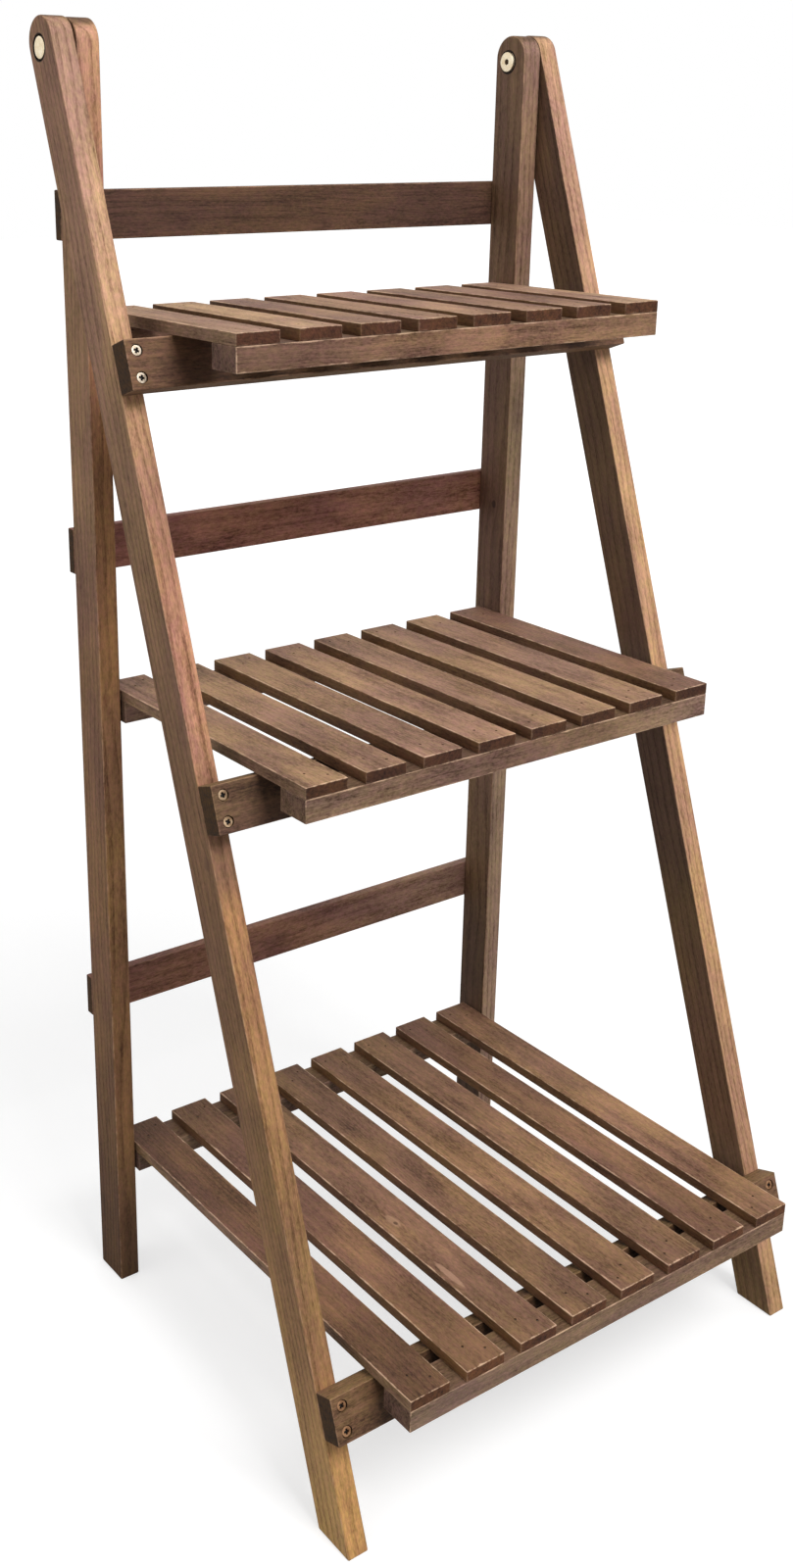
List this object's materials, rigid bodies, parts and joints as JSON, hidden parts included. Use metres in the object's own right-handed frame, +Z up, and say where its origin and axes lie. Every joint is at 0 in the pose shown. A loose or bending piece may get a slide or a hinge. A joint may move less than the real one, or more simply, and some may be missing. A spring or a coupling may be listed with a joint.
{
  "type": "plant ladder stand",
  "caption": "Folding stained-wood ladder stand for plants: a hinged front and rear frame and slatted shelves that grow deeper towards the floor.",
  "frame": {"origin": "on the floor, under the middle of the stand's bounding box", "axes": "+X to the stand's right-hand side as seen from the front, across the mirror plane between its two sides; +Y to the rear, towards the upright legs; +Z up"},
  "size_m": [0.423, 0.3782, 0.935],
  "materials": {
    "leg_wood": "brown-stained softwood, eased and rubbed arrises",
    "crossbar_wood": "brown-stained softwood, darker than the legs",
    "slat_wood": "brown-stained softwood, worn paler on top",
    "rail_wood": "brown-stained softwood",
    "dowel_wood": "bare hardwood dowel",
    "pivot_brass": "pale brass plating, satin",
    "washer_steel": "zinc plate, satin",
    "screw_steel": "zinc plate with a slight yellow cast",
    "nail_steel": "dark oxidised wire nail"
  },
  "bodies": {
    "rear_frame": {"rear_leg_left": "leg_wood", "rear_leg_right": "leg_wood", "rear_crossbar_top": "crossbar_wood", "rear_crossbar_middle": "crossbar_wood", "rear_crossbar_bottom": "crossbar_wood", "rear_crossbar_screws_top": "screw_steel", "rear_crossbar_screws_middle": "screw_steel", "rear_crossbar_screws_bottom": "screw_steel", "pivot_bolt_left": "pivot_brass", "pivot_bolt_right": "pivot_brass", "pivot_nut_left": "pivot_brass", "pivot_nut_right": "pivot_brass", "pivot_washers": "washer_steel"},
    "front_frame": {"front_leg_left": "leg_wood", "front_leg_right": "leg_wood", "front_crossbar_top": "crossbar_wood", "front_crossbar_middle": "crossbar_wood", "front_crossbar_bottom": "crossbar_wood", "front_crossbar_screws_top": "screw_steel", "front_crossbar_screws_middle": "screw_steel", "front_crossbar_screws_bottom": "screw_steel"},
    "top_shelf": {"top_slat_1": "slat_wood", "top_slat_2": "slat_wood", "top_slat_3": "slat_wood", "top_slat_4": "slat_wood", "top_slat_5": "slat_wood", "top_slat_6": "slat_wood", "top_slat_7": "slat_wood", "top_slat_8": "slat_wood", "top_front_rail": "rail_wood", "top_rear_rail": "rail_wood", "top_pivot_pins": "dowel_wood", "top_nails": "nail_steel"},
    "middle_shelf": {"middle_slat_1": "slat_wood", "middle_slat_2": "slat_wood", "middle_slat_3": "slat_wood", "middle_slat_4": "slat_wood", "middle_slat_5": "slat_wood", "middle_slat_6": "slat_wood", "middle_slat_7": "slat_wood", "middle_slat_8": "slat_wood", "middle_front_rail": "rail_wood", "middle_rear_rail": "rail_wood", "middle_pivot_pins": "dowel_wood", "middle_nails": "nail_steel"},
    "bottom_shelf": {"bottom_slat_1": "slat_wood", "bottom_slat_2": "slat_wood", "bottom_slat_3": "slat_wood", "bottom_slat_4": "slat_wood", "bottom_slat_5": "slat_wood", "bottom_slat_6": "slat_wood", "bottom_slat_7": "slat_wood", "bottom_slat_8": "slat_wood", "bottom_front_rail": "rail_wood", "bottom_rear_rail": "rail_wood", "bottom_pivot_pins": "dowel_wood", "bottom_nails": "nail_steel"}
  },
  "joints": [
    {"name": "front_frame_fold", "type": "hinge", "parent": "rear_frame", "child": "front_frame", "pos_m": [0, 0.16809, 0.916], "axis": [1, 0, 0], "range_deg": [0, 19.2]},
    {"name": "top_shelf_tip", "type": "hinge", "parent": "rear_frame", "child": "top_shelf", "pos_m": [0, 0.16059, 0.739], "axis": [-1, 0, 0], "range_deg": [0, 92.6]},
    {"name": "middle_shelf_tip", "type": "hinge", "parent": "rear_frame", "child": "middle_shelf", "pos_m": [0, 0.16059, 0.476], "axis": [-1, 0, 0], "range_deg": [0, 91.8]},
    {"name": "bottom_shelf_tip", "type": "hinge", "parent": "rear_frame", "child": "bottom_shelf", "pos_m": [0, 0.16059, 0.104], "axis": [-1, 0, 0], "range_deg": [0, 91.5]}
  ]
}
